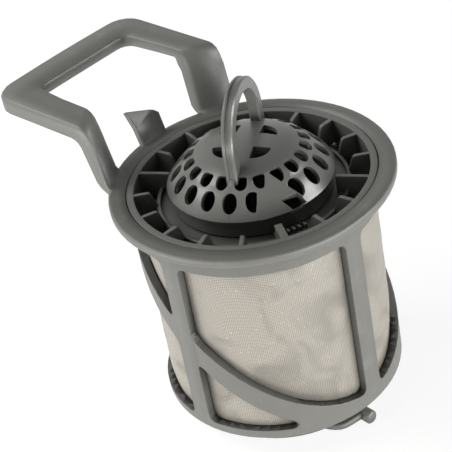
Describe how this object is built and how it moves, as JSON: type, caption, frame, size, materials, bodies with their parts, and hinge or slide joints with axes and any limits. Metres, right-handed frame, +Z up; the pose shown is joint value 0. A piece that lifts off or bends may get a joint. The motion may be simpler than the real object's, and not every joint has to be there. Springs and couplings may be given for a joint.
{
  "type": "dishwasher filter",
  "caption": "Round mesh-lined cage with a raised carrying handle and a lift-out finned coarse strainer under a perforated dome with a loop grip",
  "frame": {"origin": "on the axis of the round body, at the bottom face of the spigot that it stands on", "axes": "+Z up along the body's axis, the carrying handle points along -X"},
  "size_m": [0.1265, 0.088, 0.1116],
  "materials": {
    "frame_plastic": "satin dark grey moulded plastic",
    "filter_mesh": "fine woven beige filter mesh",
    "strainer_plastic": "satin dark grey moulded plastic",
    "dome_plastic": "satin dark grey moulded plastic"
  },
  "bodies": {
    "frame": {"filter_frame": "frame_plastic", "mesh_sleeve": "filter_mesh"},
    "strainer": {"coarse_strainer": "strainer_plastic", "strainer_dome": "dome_plastic"}
  },
  "joints": [
    {"name": "strainer_lift", "type": "slide", "parent": "frame", "child": "strainer", "axis": [0, 0, 1], "range_m": [0, 0.046]}
  ]
}
